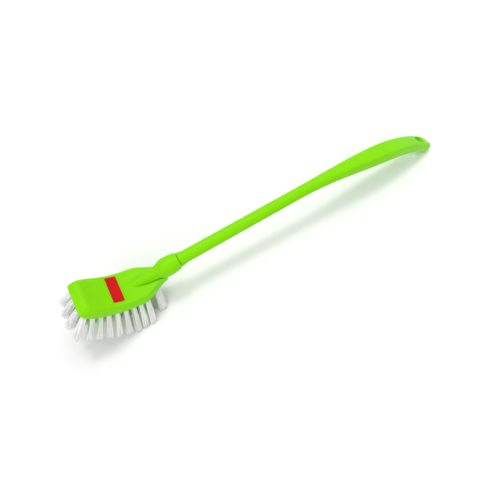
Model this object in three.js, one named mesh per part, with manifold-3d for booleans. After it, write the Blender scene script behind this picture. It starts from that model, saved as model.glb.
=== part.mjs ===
// Long-handled toilet brush: an arched brush head with a socket, a one-piece handle driven into it,
// four rows of bristle tufts, the wire anchors that hold the tufts, and a blank label.
// Millimetres, +Z up. The brush lies as it rests on a floor, on its rear bristles and its handle tip.

import * as THREE from 'three';
import { mergeVertices } from 'three/addons/utils/BufferGeometryUtils.js';
import Module from 'manifold-3d';

const wasm = await Module();
wasm.setup();

// Driving dimensions: clearances
const FIT_GAP = 0.3;
const LABEL_GAP = 0.2;

// Driving dimensions: head plate, measured along and across its top face
const PLATE_ARC_LENGTH = 41.5;
const PLATE_FLAT_LENGTH = 34;
const PLATE_ARC_RADIUS = 56;
const PLATE_HALF_WIDTH = 15.6;
const PLATE_THICKNESS = 9.5;
const PLATE_FLARE = 2;
const FRONT_FLARE = 0.3;
const PLATE_EDGE_RADIUS = 1.6;
const FRONT_HALF_WIDTH = 11;
const FRONT_CORNER_LENGTH = 8;
const SHOULDER_LENGTH = 27.5;
const TAIL_HALF_WIDTH = 3.6;

// Driving dimensions: socket on the head and its angle to the plate
const SOCKET_ANGLE = THREE.MathUtils.degToRad(19);
const SOCKET_CROSSING = 39;
const ARCH_SETBACK = 7.3;
const SOCKET_DIAMETER = 16.2;
const SOCKET_MOUTH_DIAMETER = 15;
const SOCKET_WIDEST_PLACE = 14;
const SOCKET_NOSE_REACH = 3;
const SOCKET_MOUTH_ROUND = 0.9;

// Driving dimensions: handle
const SPIGOT_DIAMETER = 9;
const SPIGOT_LENGTH = 25;
const SPIGOT_LEAD = 1.5;
const SNAP_BEAD_HEIGHT = 0.5;
const SNAP_BEAD_LENGTH = 3;
const SNAP_BEAD_PLACE = 14;
const COLLAR_DIAMETER = 13.6;
const COLLAR_LENGTH = 8;
const SHAFT_DIAMETER = 11;
const SHAFT_LENGTH = 130;
const GRIP_START_RADIUS = 540;
const GRIP_START_LENGTH = 111;
const GRIP_BOW_RADIUS = 210;
const GRIP_BOW_LENGTH = 67;
const GRIP_HOOK_RADIUS = 119;
const GRIP_HOOK_LENGTH = 28.7;
const GRIP_WIDTH = 19.4;
const GRIP_WIDEST_PLACE = 93;
const GRIP_THICKNESS = 12.2;
const GRIP_SQUARENESS = 3.2;
const TIP_WIDTH = 16.8;
const TIP_THICKNESS = 10.6;
const TIP_ROUND = 8;
const TIP_BLUNTNESS = 4;
const TIP_FOOT_DEPTH = 1;
const SEAM_HEIGHT = 39.5;
const HANG_SLOT_LENGTH = 15;
const HANG_SLOT_WIDTH = 7;
const HANG_SLOT_SETBACK = 30;

// Driving dimensions: bristle rows, tufts and anchors
const TUFT_PITCH = 5.8;
const OUTER_ROW_OFFSET = 11.4;
const OUTER_ROW_START = 6;
const OUTER_ROW_TUFTS = 9;
const OUTER_ROW_SPLAY = 24;
const INNER_ROW_OFFSET = 4.4;
const INNER_ROW_START = 5;
const INNER_ROW_TUFTS = 11;
const INNER_ROW_SPLAY = 8;
const TAIL_SPLAY = 44;
const ROW_BED_WIDTH = 5.8;
const ROW_BED_DEPTH = 2;
const ROW_BED_END = 2.7;
const BRISTLE_FRONT_DEPTH = 17.5;
const BRISTLE_REAR_DEPTH = 35;
const STRANDS_PER_TUFT = 9;
const STRAND_ROOT_RADIUS = 0.34;
const STRAND_TIP_RADIUS = 0.3;
const STRAND_SIDES = 3;
const STRAND_EMBED = 0.8;
const TUFT_ROOT_RADIUS = 2.2;
const TUFT_TIP_RADIUS = 3;
const FAN_FRONT_ANGLE = 4;
const FAN_REAR_ANGLE = 24;
const ANCHOR_WIDTH = 3.4;
const ANCHOR_HEIGHT = 3;
const ANCHOR_THICKNESS = 0.8;

// Driving dimensions: label
const LABEL_LENGTH = 9;
const LABEL_WIDTH = 24.2;
const LABEL_THICKNESS = 0.3;
const LABEL_PLACE = 24.6;

// Facet counts and search settings
const ROUND_SIDES = 24;
const GRIP_STATIONS = 30;
const TIP_STATIONS = 6;
const NOSE_STATIONS = 8;
const SWELL_STATIONS = 4;
const FRONT_STATIONS = 6;
const PLATE_STATION_STEP = 3.4;
const SLOT_END_SIDES = 8;
const MERGE_TOLERANCE = 1e-4;
const REST_SEARCH_ANGLE = Math.PI / 8;
const REST_SEARCH_STEPS = 40;

// Values that follow from the driving dimensions
const GRIP_ARCS = [
  { radius: GRIP_START_RADIUS, length: GRIP_START_LENGTH },
  { radius: GRIP_BOW_RADIUS, length: GRIP_BOW_LENGTH },
  { radius: GRIP_HOOK_RADIUS, length: GRIP_HOOK_LENGTH },
];
const outerRow = { tufts: OUTER_ROW_TUFTS, first: OUTER_ROW_START };
const innerRow = { tufts: INNER_ROW_TUFTS, first: INNER_ROW_START };
const ROW_PLANS = [
  { name: 'bristle_row_outer_right', offset: -OUTER_ROW_OFFSET, splay: -OUTER_ROW_SPLAY, ...outerRow },
  { name: 'bristle_row_inner_right', offset: -INNER_ROW_OFFSET, splay: -INNER_ROW_SPLAY, ...innerRow },
  { name: 'bristle_row_inner_left', offset: INNER_ROW_OFFSET, splay: INNER_ROW_SPLAY, ...innerRow },
  { name: 'bristle_row_outer_left', offset: OUTER_ROW_OFFSET, splay: OUTER_ROW_SPLAY, ...outerRow },
];
const PLATE_LENGTH = PLATE_ARC_LENGTH + PLATE_FLAT_LENGTH;
const SOCKET_NOSE_TIP = -(SOCKET_CROSSING + SOCKET_NOSE_REACH);
const BORE_DIAMETER = SPIGOT_DIAMETER + 2 * FIT_GAP;
const BORE_DEPTH = SPIGOT_LENGTH + FIT_GAP;
const GRIP_LENGTH = GRIP_ARCS.reduce((sum, arc) => sum + arc.length, 0);
const HANDLE_LENGTH = SHAFT_LENGTH + GRIP_LENGTH;
const GOLDEN_ANGLE = Math.PI * (3 - Math.sqrt(5));
const ACROSS = new THREE.Vector3(0, 1, 0);

// Materials
const limePlastic = new THREE.MeshStandardMaterial({ color: 0x86e20a, roughness: 0.32, metalness: 0 });
const whiteNylon = new THREE.MeshStandardMaterial({ color: 0xf4f4f0, roughness: 0.45, metalness: 0 });
const redLabel = new THREE.MeshStandardMaterial({ color: 0xd3121a, roughness: 0.4, metalness: 0 });
const anchorSteel = new THREE.MeshStandardMaterial({ color: 0xb8babd, roughness: 0.35, metalness: 1 });

/** Turns a closed three.js geometry into a solid for joining and cutting. */
function solidOf(geometry) {
  const bare = geometry.clone();
  bare.deleteAttribute('normal');
  bare.deleteAttribute('uv');
  const merged = mergeVertices(bare, MERGE_TOLERANCE);
  const mesh = new wasm.Mesh({
    numProp: 3,
    vertProperties: new Float32Array(merged.attributes.position.array),
    triVerts: new Uint32Array(merged.index.array),
  });
  return new wasm.Manifold(mesh);
}

/** Turns a solid back into a three.js geometry. */
function geometryOf(solid) {
  const mesh = solid.getMesh();
  const geometry = new THREE.BufferGeometry();
  geometry.setAttribute('position', new THREE.BufferAttribute(mesh.vertProperties, 3));
  geometry.setIndex(new THREE.BufferAttribute(mesh.triVerts, 1));
  geometry.computeVertexNormals();
  return geometry;
}

/** Skins a row of rings with equal point counts and closes both ends with a fan. */
function loft(rings) {
  const count = rings[0].length;
  const points = rings.flat();
  const index = [];
  for (let r = 0; r + 1 < rings.length; r += 1) {
    for (let i = 0; i < count; i += 1) {
      const next = (i + 1) % count;
      const a = r * count + i;
      const b = r * count + next;
      index.push(a, b, b + count, a, b + count, a + count);
    }
  }
  const closeEnd = (ring, start, flip) => {
    const centre = ring.reduce((sum, p) => sum.add(p), new THREE.Vector3()).divideScalar(count);
    const hub = points.push(centre) - 1;
    for (let i = 0; i < count; i += 1) {
      const a = start + i;
      const b = start + ((i + 1) % count);
      index.push(hub, flip ? b : a, flip ? a : b);
    }
  };
  closeEnd(rings[0], 0, true);
  closeEnd(rings[rings.length - 1], (rings.length - 1) * count, false);
  return outwards(points, index);
}

/** Makes a geometry whose faces point out, whichever way its rings were wound. */
function outwards(points, index) {
  let volume = 0;
  for (let i = 0; i < index.length; i += 3) {
    const [a, b, c] = [points[index[i]], points[index[i + 1]], points[index[i + 2]]];
    volume += a.dot(b.clone().cross(c));
  }
  const order = volume < 0 ? index.slice().reverse() : index;
  const geometry = new THREE.BufferGeometry().setFromPoints(points);
  geometry.setIndex(order);
  geometry.computeVertexNormals();
  return geometry;
}

/** Eases from 0 to 1 as t goes from 0 to 1, flat at both ends. */
function ease(t) {
  return THREE.MathUtils.smoothstep(t, 0, 1);
}

/** Numbers from start to end in equal steps no longer than step, both ends included. */
function stations(start, end, step) {
  const count = Math.max(1, Math.ceil((end - start) / step));
  return Array.from({ length: count + 1 }, (_, i) => start + ((end - start) * i) / count);
}

// Plate frame: p runs back along the top face from its front edge, q across, n up from the face.
// The top face is straight where it meets the socket and arched upwards towards the front.
const bendStart = new THREE.Vector3(-SOCKET_CROSSING, 0, 0).addScaledVector(
  new THREE.Vector3(-Math.cos(SOCKET_ANGLE), 0, Math.sin(SOCKET_ANGLE)),
  ARCH_SETBACK,
);

/** Angle between the plate's top face at p and the socket axis. */
function plateAngle(p) {
  return SOCKET_ANGLE + Math.max(0, PLATE_ARC_LENGTH - p) / PLATE_ARC_RADIUS;
}

/** Unit vectors of the plate frame at p: back along the face, across it and up from it. */
function plateAxes(p) {
  const angle = plateAngle(p);
  return {
    back: new THREE.Vector3(Math.cos(angle), 0, -Math.sin(angle)),
    across: ACROSS,
    up: new THREE.Vector3(Math.sin(angle), 0, Math.cos(angle)),
  };
}

/** Point of the bent plate at p, q, n. */
function platePoint(p, q, n) {
  const { back, up } = plateAxes(p);
  const hub = plateAxes(PLATE_ARC_LENGTH).up.multiplyScalar(PLATE_ARC_RADIUS).add(bendStart);
  const point = p < PLATE_ARC_LENGTH
    ? hub.addScaledVector(up, -PLATE_ARC_RADIUS)
    : bendStart.clone().addScaledVector(back, p - PLATE_ARC_LENGTH);
  return point.addScaledVector(ACROSS, q).addScaledVector(up, n);
}

/** Half width of the plate's top face at p: round front corners, full width, then the shoulders. */
function plateHalfWidth(p) {
  const shoulderStart = PLATE_LENGTH - SHOULDER_LENGTH;
  if (p < FRONT_CORNER_LENGTH) {
    const run = 1 - Math.max(p, 0) / FRONT_CORNER_LENGTH;
    return FRONT_HALF_WIDTH + (PLATE_HALF_WIDTH - FRONT_HALF_WIDTH) * Math.sqrt(1 - run * run);
  }
  const narrowing = ease((p - shoulderStart) / SHOULDER_LENGTH);
  return THREE.MathUtils.lerp(PLATE_HALF_WIDTH, TAIL_HALF_WIDTH, narrowing);
}

/** Outline of the plate across p: flared walls, rounded top edges, and a front that flares as well. */
function plateRing(p) {
  const half = plateHalfWidth(p);
  const round = PLATE_EDGE_RADIUS;
  const depth = (n) => -n / PLATE_THICKNESS;
  const flareAt = (n) => PLATE_FLARE * depth(n);
  const frontShare = Math.max(0, 1 - p / FRONT_CORNER_LENGTH);
  const side = [
    [half + PLATE_FLARE - round / 2, -PLATE_THICKNESS],
    [half + flareAt(-PLATE_THICKNESS + round / 2), -PLATE_THICKNESS + round / 2],
    [half + flareAt(-round), -round],
    [half - round * (1 - Math.SQRT1_2), -round * (1 - Math.SQRT1_2)],
    [half - round, 0],
  ];
  const place = ([q, n]) => platePoint(p - FRONT_FLARE * depth(n) * frontShare, q, n);
  const left = side.map(place);
  const right = side.map(([q, n]) => place([-q, n])).reverse();
  return [...left, ...right];
}

/** Closed bar that follows the bent plate between two p, two q and two n. */
function plateBar(pRange, qRange, nRange) {
  const rings = stations(pRange[0], pRange[1], PLATE_STATION_STEP).map((p) => [
    platePoint(p, qRange[0], nRange[0]),
    platePoint(p, qRange[1], nRange[0]),
    platePoint(p, qRange[1], nRange[1]),
    platePoint(p, qRange[0], nRange[1]),
  ]);
  return loft(rings);
}

/** Places a geometry in the plate frame at p, q, n, with its own Z up from the face. */
function onPlate(geometry, p, q, n) {
  const { back, across, up } = plateAxes(p);
  const place = new THREE.Matrix4().makeBasis(back, across, up);
  place.setPosition(platePoint(p, q, n));
  return geometry.applyMatrix4(place);
}

/** Solid of revolution about the X axis from a profile of radius against x. */
function turned(profile) {
  const points = profile.map(([x, radius]) => new THREE.Vector2(radius, x));
  const geometry = new THREE.LatheGeometry(points, ROUND_SIDES);
  return geometry.rotateZ(-Math.PI / 2);
}

/** Radius of the socket at x: a pointed nose, a swell, then a slight taper to the mouth. */
function socketRadius(x) {
  const widest = -SOCKET_WIDEST_PLACE;
  if (x < widest) {
    const turn = ((Math.PI / 2) * (x - SOCKET_NOSE_TIP)) / (widest - SOCKET_NOSE_TIP);
    return (SOCKET_DIAMETER / 2) * Math.sin(turn);
  }
  return THREE.MathUtils.lerp(SOCKET_DIAMETER, SOCKET_MOUTH_DIAMETER, ease((x - widest) / -widest)) / 2;
}

/** Socket: a swollen tube whose nose grows out of the plate's top face. */
function socketSolid() {
  const widest = -SOCKET_WIDEST_PLACE;
  const radius = SOCKET_MOUTH_DIAMETER / 2;
  const nose = stations(SOCKET_NOSE_TIP, widest, (widest - SOCKET_NOSE_TIP) / NOSE_STATIONS);
  const swell = stations(widest, -SOCKET_MOUTH_ROUND, SOCKET_WIDEST_PLACE / SWELL_STATIONS).slice(1);
  const wall = [...nose, ...swell].map((x) => [x, socketRadius(x)]);
  const mouth = [
    [-SOCKET_MOUTH_ROUND * (1 - Math.SQRT1_2), radius - SOCKET_MOUTH_ROUND * (1 - Math.SQRT1_2)],
    [0, radius - SOCKET_MOUTH_ROUND],
    [0, 0],
  ];
  return solidOf(turned([...wall, ...mouth]));
}

/** Bore for the spigot, with a groove for its snap bead. */
function boreSolid() {
  const radius = BORE_DIAMETER / 2;
  const groove = SNAP_BEAD_LENGTH / 2 + FIT_GAP;
  return solidOf(turned([
    [-BORE_DEPTH, 0],
    [-BORE_DEPTH, radius],
    [-SNAP_BEAD_PLACE - groove, radius],
    [-SNAP_BEAD_PLACE, radius + SNAP_BEAD_HEIGHT],
    [-SNAP_BEAD_PLACE + groove, radius],
    [PLATE_THICKNESS, radius],
    [PLATE_THICKNESS, 0],
  ]));
}

/** Places of a row's tufts along the plate. */
function tuftPlaces(row) {
  return Array.from({ length: row.tufts }, (_, i) => row.first + i * TUFT_PITCH);
}

/** Extent of a row's bed along the plate. */
function bedRange(row) {
  const places = tuftPlaces(row);
  return [places[0] - ROW_BED_END, places[places.length - 1] + ROW_BED_END];
}

/** Height of an anchor's lower edge in the plate frame. */
const ANCHOR_BASE = -PLATE_THICKNESS + ROW_BED_DEPTH + FIT_GAP;

/** Wire anchor, or the slit it sits in when it is grown by a gap. */
function anchorGeometry(p, q, gap) {
  const size = [ANCHOR_WIDTH + 2 * gap, ANCHOR_THICKNESS + 2 * gap, ANCHOR_HEIGHT + 2 * gap];
  return onPlate(new THREE.BoxGeometry(...size), p, q, ANCHOR_BASE + ANCHOR_HEIGHT / 2);
}

/** Head block: plate and socket in one moulding, with a bed for each row and a slit for each anchor. */
function headGeometry() {
  const front = stations(0, FRONT_CORNER_LENGTH, FRONT_CORNER_LENGTH / FRONT_STATIONS);
  const rest = stations(FRONT_CORNER_LENGTH, PLATE_LENGTH, PLATE_STATION_STEP).slice(1);
  let block = solidOf(loft([...front, ...rest].map(plateRing)));
  block = block.add(socketSolid()).subtract(boreSolid());
  for (const row of ROW_PLANS) {
    const [from, to] = bedRange(row);
    const half = ROW_BED_WIDTH / 2 + FIT_GAP;
    const bed = plateBar(
      [from - FIT_GAP, to + FIT_GAP],
      [row.offset - half, row.offset + half],
      [-PLATE_THICKNESS - PLATE_FLARE, -PLATE_THICKNESS + ROW_BED_DEPTH + FIT_GAP],
    );
    block = block.subtract(solidOf(bed));
    for (const p of tuftPlaces(row)) {
      block = block.subtract(solidOf(anchorGeometry(p, row.offset, FIT_GAP)));
    }
  }
  return geometryOf(block);
}

/** Splay of a tuft at p in degrees: its row's own, and more where the shoulders bring the edge close. */
function tuftSplay(row, p) {
  const tail = ease((p - PLATE_LENGTH + SHOULDER_LENGTH) / SHOULDER_LENGTH);
  return THREE.MathUtils.lerp(row.splay, Math.sign(row.splay) * TAIL_SPLAY, tail);
}

/** Root, reach and frame of a tuft: fanned along the plate, splayed outwards, trimmed to a set depth. */
function tuftFrame(row, p) {
  const { back, up } = plateAxes(p);
  const share = p / PLATE_LENGTH;
  const fan = THREE.MathUtils.degToRad(THREE.MathUtils.lerp(-FAN_FRONT_ANGLE, FAN_REAR_ANGLE, share));
  const splay = THREE.MathUtils.degToRad(tuftSplay(row, p));
  const reach = up.clone().negate();
  reach.addScaledVector(back, Math.tan(fan)).addScaledVector(ACROSS, Math.tan(splay));
  reach.multiplyScalar(THREE.MathUtils.lerp(BRISTLE_FRONT_DEPTH, BRISTLE_REAR_DEPTH, share));
  const outward = ACROSS.clone().multiplyScalar(Math.sign(row.offset));
  return { root: platePoint(p, row.offset, -PLATE_THICKNESS), reach, back, outward };
}

/** Line of each strand of a tuft, from its buried root to its tip, spread evenly and never crossing. */
function strandLines(row, p) {
  const { root, reach, back, outward } = tuftFrame(row, p);
  return Array.from({ length: STRANDS_PER_TUFT }, (_, i) => {
    const share = Math.sqrt((i + 0.5) / STRANDS_PER_TUFT);
    const turn = i * GOLDEN_ANGLE;
    const spread = back.clone().multiplyScalar(Math.cos(turn)).addScaledVector(outward, Math.sin(turn));
    const foot = root.clone().addScaledVector(spread, share * TUFT_ROOT_RADIUS);
    const tip = root.clone().add(reach);
    tip.addScaledVector(spread, share * TUFT_TIP_RADIUS);
    const lean = tip.clone().sub(foot).normalize();
    return { foot: foot.addScaledVector(lean, -STRAND_EMBED), tip };
  });
}

/** Tapered strand between two points. */
function strandGeometry({ foot, tip }) {
  const run = tip.clone().sub(foot);
  const length = run.length();
  const cone = new THREE.CylinderGeometry(STRAND_TIP_RADIUS, STRAND_ROOT_RADIUS, length, STRAND_SIDES);
  const turn = new THREE.Quaternion().setFromUnitVectors(ACROSS, run.clone().normalize());
  cone.applyQuaternion(turn);
  return cone.translate(...foot.clone().add(tip).multiplyScalar(0.5).toArray());
}

/** Bristle row: its bed, a slice of the block's underside, with every strand of its tufts. */
function rowSolid(row) {
  const half = ROW_BED_WIDTH / 2;
  const bed = plateBar(
    bedRange(row),
    [row.offset - half, row.offset + half],
    [-PLATE_THICKNESS, -PLATE_THICKNESS + ROW_BED_DEPTH],
  );
  const strands = tuftPlaces(row).flatMap((p) => strandLines(row, p)).map(strandGeometry);
  return strands.reduce((solid, strand) => solid.add(solidOf(strand)), solidOf(bed));
}

/** Point, direction and upward normal of the handle's centre line at s along it from the seam. */
function handleAxis(s) {
  let x = Math.min(s, SHAFT_LENGTH);
  let z = 0;
  let angle = 0;
  let left = s - SHAFT_LENGTH;
  for (const arc of GRIP_ARCS) {
    const run = THREE.MathUtils.clamp(left, 0, arc.length);
    const end = angle + run / arc.radius;
    x += arc.radius * (Math.sin(end) - Math.sin(angle));
    z -= arc.radius * (Math.cos(angle) - Math.cos(end));
    angle = end;
    left -= run;
  }
  return {
    point: new THREE.Vector3(x, 0, z),
    along: new THREE.Vector3(Math.cos(angle), 0, -Math.sin(angle)),
    up: new THREE.Vector3(Math.sin(angle), 0, Math.cos(angle)),
  };
}

/** Half width and half thickness of the handle's section at s, past the collar. */
function gripSection(s) {
  const widest = HANDLE_LENGTH - GRIP_WIDEST_PLACE;
  const roundStart = HANDLE_LENGTH - TIP_ROUND;
  const shaft = SHAFT_DIAMETER / 2;
  const grow = ease((s - SHAFT_LENGTH) / (widest - SHAFT_LENGTH));
  const shrink = ease((s - widest) / (HANDLE_LENGTH - widest));
  const fullWidth = THREE.MathUtils.lerp(shaft, GRIP_WIDTH / 2, grow);
  const fullThickness = THREE.MathUtils.lerp(shaft, GRIP_THICKNESS / 2, grow);
  const end = Math.max(0, (s - roundStart) / TIP_ROUND);
  const round = Math.sqrt(Math.max(0, 1 - end * end));
  return {
    width: THREE.MathUtils.lerp(fullWidth, TIP_WIDTH / 2, shrink) * round,
    thickness: THREE.MathUtils.lerp(fullThickness, TIP_THICKNESS / 2, shrink) * round ** (1 / TIP_BLUNTNESS),
    power: 2 / THREE.MathUtils.lerp(2, GRIP_SQUARENESS, grow),
  };
}

/** Ring round the handle's centre line at s: an oval whose sides flatten as its power drops below 1. */
function handleRing(s, { width, thickness, power }) {
  const { point, up } = handleAxis(s);
  const bulge = (value) => Math.sign(value) * Math.abs(value) ** power;
  return Array.from({ length: ROUND_SIDES }, (_, i) => {
    const turn = (2 * Math.PI * (i + 0.5)) / ROUND_SIDES;
    return point.clone()
      .addScaledVector(ACROSS, width * bulge(Math.cos(turn)))
      .addScaledVector(up, thickness * bulge(Math.sin(turn)));
  });
}

/** Rings of the spigot and the collar: straight, about the shaft's axis. */
function spigotRings() {
  const radius = SPIGOT_DIAMETER / 2;
  const bead = SNAP_BEAD_LENGTH / 2;
  const profile = [
    [-SPIGOT_LENGTH, radius - SPIGOT_LEAD],
    [-SPIGOT_LENGTH + SPIGOT_LEAD, radius],
    [-SNAP_BEAD_PLACE - bead, radius],
    [-SNAP_BEAD_PLACE, radius + SNAP_BEAD_HEIGHT],
    [-SNAP_BEAD_PLACE + bead, radius],
    [FIT_GAP, radius],
    [FIT_GAP, COLLAR_DIAMETER / 2 - SOCKET_MOUTH_ROUND / 2],
    [FIT_GAP + SOCKET_MOUTH_ROUND / 2, COLLAR_DIAMETER / 2],
    [COLLAR_LENGTH, SHAFT_DIAMETER / 2],
  ];
  return profile.map(([s, r]) => handleRing(s, { width: r, thickness: r, power: 1 }).map((p) => p.setX(s)));
}

/** Slot for hanging the brush up, through the grip near its tip. */
function hangSlotSolid() {
  const { point, along, up } = handleAxis(HANDLE_LENGTH - HANG_SLOT_SETBACK);
  const straight = (HANG_SLOT_LENGTH - HANG_SLOT_WIDTH) / 2;
  const outline = new THREE.Shape();
  outline.absarc(straight, 0, HANG_SLOT_WIDTH / 2, -Math.PI / 2, Math.PI / 2);
  outline.absarc(-straight, 0, HANG_SLOT_WIDTH / 2, Math.PI / 2, 1.5 * Math.PI);
  const depth = 2 * GRIP_THICKNESS;
  const cut = { depth, bevelEnabled: false, curveSegments: SLOT_END_SIDES };
  const slot = new THREE.ExtrudeGeometry(outline, cut);
  slot.translate(0, 0, -depth / 2);
  slot.applyMatrix4(new THREE.Matrix4().makeBasis(along, ACROSS, up).setPosition(point));
  return solidOf(slot);
}

/** Handle in one moulding: spigot, collar, straight shaft and the bowed grip with its hang slot. */
function handleSolid() {
  const tipStart = HANDLE_LENGTH - TIP_ROUND;
  const gripStep = (tipStart - SHAFT_LENGTH) / GRIP_STATIONS;
  const places = stations(SHAFT_LENGTH, tipStart, gripStep);
  for (let i = 1; i <= TIP_STATIONS; i += 1) {
    places.push(tipStart + TIP_ROUND * Math.sin(((Math.PI / 2) * i) / (TIP_STATIONS + 0.5)));
  }
  const rings = places.map((s) => handleRing(s, gripSection(s)));
  return solidOf(loft([...spigotRings(), ...rings])).subtract(hangSlotSolid());
}

/** Label: a thin blank sheet that follows the arched top face. */
function labelGeometry() {
  return plateBar(
    [LABEL_PLACE, LABEL_PLACE + LABEL_LENGTH],
    [-LABEL_WIDTH / 2, LABEL_WIDTH / 2],
    [LABEL_GAP, LABEL_GAP + LABEL_THICKNESS],
  );
}

/** Lowest height of a geometry when it is tipped about Y by an angle. */
function lowest(geometry, angle) {
  const tipped = geometry.clone().rotateY(angle);
  tipped.computeBoundingBox();
  return tipped.boundingBox.min.z;
}

/** Angle at which the handle's foot stands on the floor, with the seam at its set height. */
function restAngle(handle) {
  let [low, high] = [-REST_SEARCH_ANGLE, REST_SEARCH_ANGLE];
  for (let i = 0; i < REST_SEARCH_STEPS; i += 1) {
    const middle = (low + high) / 2;
    if (lowest(handle, middle) + TIP_FOOT_DEPTH > -SEAM_HEIGHT) {
      low = middle;
    } else {
      high = middle;
    }
  }
  return (low + high) / 2;
}

/** Everything below the floor, for trimming what stands on it. */
function underFloor(angle, height) {
  const size = 4 * HANDLE_LENGTH;
  const slab = new THREE.BoxGeometry(size, size, size).translate(0, 0, height - size / 2);
  return solidOf(slab.rotateY(-angle));
}

const rows = ROW_PLANS.map((row) => ({ name: row.name, solid: rowSolid(row) }));
const handle = handleSolid();
const restTilt = restAngle(geometryOf(handle));
const floorCut = underFloor(restTilt, -SEAM_HEIGHT);

const brush = new THREE.Group();
brush.rotation.y = restTilt;

/** Adds a named sub-part to the brush. */
function addPart(name, geometry, material) {
  const mesh = new THREE.Mesh(geometry, material);
  mesh.name = name;
  brush.add(mesh);
}

addPart('head_block', headGeometry(), limePlastic);
addPart('handle', geometryOf(handle.subtract(floorCut)), limePlastic);
addPart('label', labelGeometry(), redLabel);
for (const row of rows) {
  addPart(row.name, geometryOf(row.solid.subtract(floorCut)), whiteNylon);
}
let anchorNumber = 0;
for (const row of ROW_PLANS) {
  for (const p of tuftPlaces(row)) {
    anchorNumber += 1;
    const name = `tuft_anchor_${String(anchorNumber).padStart(2, '0')}`;
    addPart(name, anchorGeometry(p, row.offset, 0), anchorSteel);
  }
}

// The part's origin is the middle of its footprint, on the floor.
const part = new THREE.Group();
part.add(brush);
part.updateMatrixWorld(true);
const box = new THREE.Box3().setFromObject(brush, true);
const centre = box.getCenter(new THREE.Vector3());
brush.position.set(-centre.x, -centre.y, SEAM_HEIGHT);

export default part;
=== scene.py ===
"""Long-handled toilet brush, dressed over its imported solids.

The head block and the handle are moulded forms: each is a distance field that is skinned by a surface net.
The bristles are bundles of fine filaments, and the label is a plain film on the arched plate.
Sizes are in millimetres in the shaft's own frame: x runs along the shaft from the seam towards the tip,
y across the brush and z up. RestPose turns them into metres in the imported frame.
"""

import logging
import math
from abc import ABC, abstractmethod
from collections.abc import Callable
from dataclasses import dataclass, field
from enum import Enum

import bpy
import numpy as np
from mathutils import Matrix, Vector


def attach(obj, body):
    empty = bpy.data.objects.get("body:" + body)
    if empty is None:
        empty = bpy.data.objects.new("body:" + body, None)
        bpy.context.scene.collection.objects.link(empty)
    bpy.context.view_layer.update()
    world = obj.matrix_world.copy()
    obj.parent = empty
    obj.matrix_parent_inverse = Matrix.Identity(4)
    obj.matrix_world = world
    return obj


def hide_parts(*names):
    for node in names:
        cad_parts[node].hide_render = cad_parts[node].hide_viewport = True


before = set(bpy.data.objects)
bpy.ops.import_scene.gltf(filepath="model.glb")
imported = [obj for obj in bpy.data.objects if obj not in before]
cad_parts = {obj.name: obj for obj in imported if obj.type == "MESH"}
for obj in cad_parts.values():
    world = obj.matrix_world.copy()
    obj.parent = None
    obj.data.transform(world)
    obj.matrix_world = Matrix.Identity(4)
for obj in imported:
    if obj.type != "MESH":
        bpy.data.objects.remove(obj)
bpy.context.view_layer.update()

MM = 0.001
LOG = logging.getLogger("toilet_brush")
GOLDEN_ANGLE = math.pi * (3.0 - math.sqrt(5.0))
SLOPE_STEP = 0.1
TINY = 1e-6
Array = np.ndarray
Triple = tuple[float, float, float]
Colour = Triple | bpy.types.NodeSocket


class Slot(Enum):
    """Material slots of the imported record."""

    LIME = "lime_plastic"
    NYLON = "white_nylon"
    RED = "red_label"


class RowPlace(Enum):
    """Bristle rows, each with the side that it splays to and whether it is an outer one."""

    OUTER_RIGHT = ("bristle_row_outer_right", -1.0, True)
    INNER_RIGHT = ("bristle_row_inner_right", -1.0, False)
    INNER_LEFT = ("bristle_row_inner_left", 1.0, False)
    OUTER_LEFT = ("bristle_row_outer_left", 1.0, True)

    def __init__(self, node: str, side: float, outer: bool) -> None:
        """Keeps what sets the row apart.

        Args:
            node: Name of the row's solid.
            side: The side that it splays to, -1 for the right and 1 for the left.
            outer: Whether it is an outer row.
        """
        self.node = node
        self.side = side
        self.outer = outer


def ease(share: Array) -> Array:
    """Eases from 0 to 1, flat at both ends.

    Args:
        share: Shares of the way, held between 0 and 1.

    Returns:
        The eased shares.
    """
    held = np.clip(share, 0.0, 1.0)
    return held * held * (3.0 - 2.0 * held)


def round_cut(first: Array, second: Array, radius: float | Array) -> Array:
    """Meets two distance fields where both are inside, with a rounded outer edge.

    Args:
        first: Distances to the first form.
        second: Distances to the second form.
        radius: Radius of the edge where the two surfaces meet.

    Returns:
        Distances to what the two forms share.
    """
    reach = np.hypot(np.maximum(first + radius, 0.0), np.maximum(second + radius, 0.0))
    return np.minimum(np.maximum(first, second), -radius) + reach


def round_join(first: Array, second: Array, radius: float | Array) -> Array:
    """Joins two distance fields with a hollow fillet between them.

    Args:
        first: Distances to the first form.
        second: Distances to the second form.
        radius: Radius of the fillet.

    Returns:
        Distances to the joined form.
    """
    reach = np.hypot(np.maximum(radius - first, 0.0), np.maximum(radius - second, 0.0))
    return np.maximum(np.minimum(first, second), radius) - reach


@dataclass(frozen=True)
class RestPose:
    """How the shaft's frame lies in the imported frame."""

    tilt: float = math.radians(2.56743)
    seam_x: float = -114.9492
    seam_y: float = -0.0728
    seam_z: float = 39.5

    def world(self, points: Array) -> Array:
        """Turns points of the shaft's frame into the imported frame.

        Args:
            points: Points of the shaft's frame, in millimetres.

        Returns:
            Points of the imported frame, in metres.
        """
        x, y, z = np.moveaxis(np.asarray(points, float), -1, 0)
        turn_cos, turn_sin = math.cos(self.tilt), math.sin(self.tilt)
        along = turn_cos * x - turn_sin * z + self.seam_x
        up = turn_sin * x + turn_cos * z + self.seam_z
        return np.stack([along, y + self.seam_y, up], axis=-1) * MM


POSE = RestPose()


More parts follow.
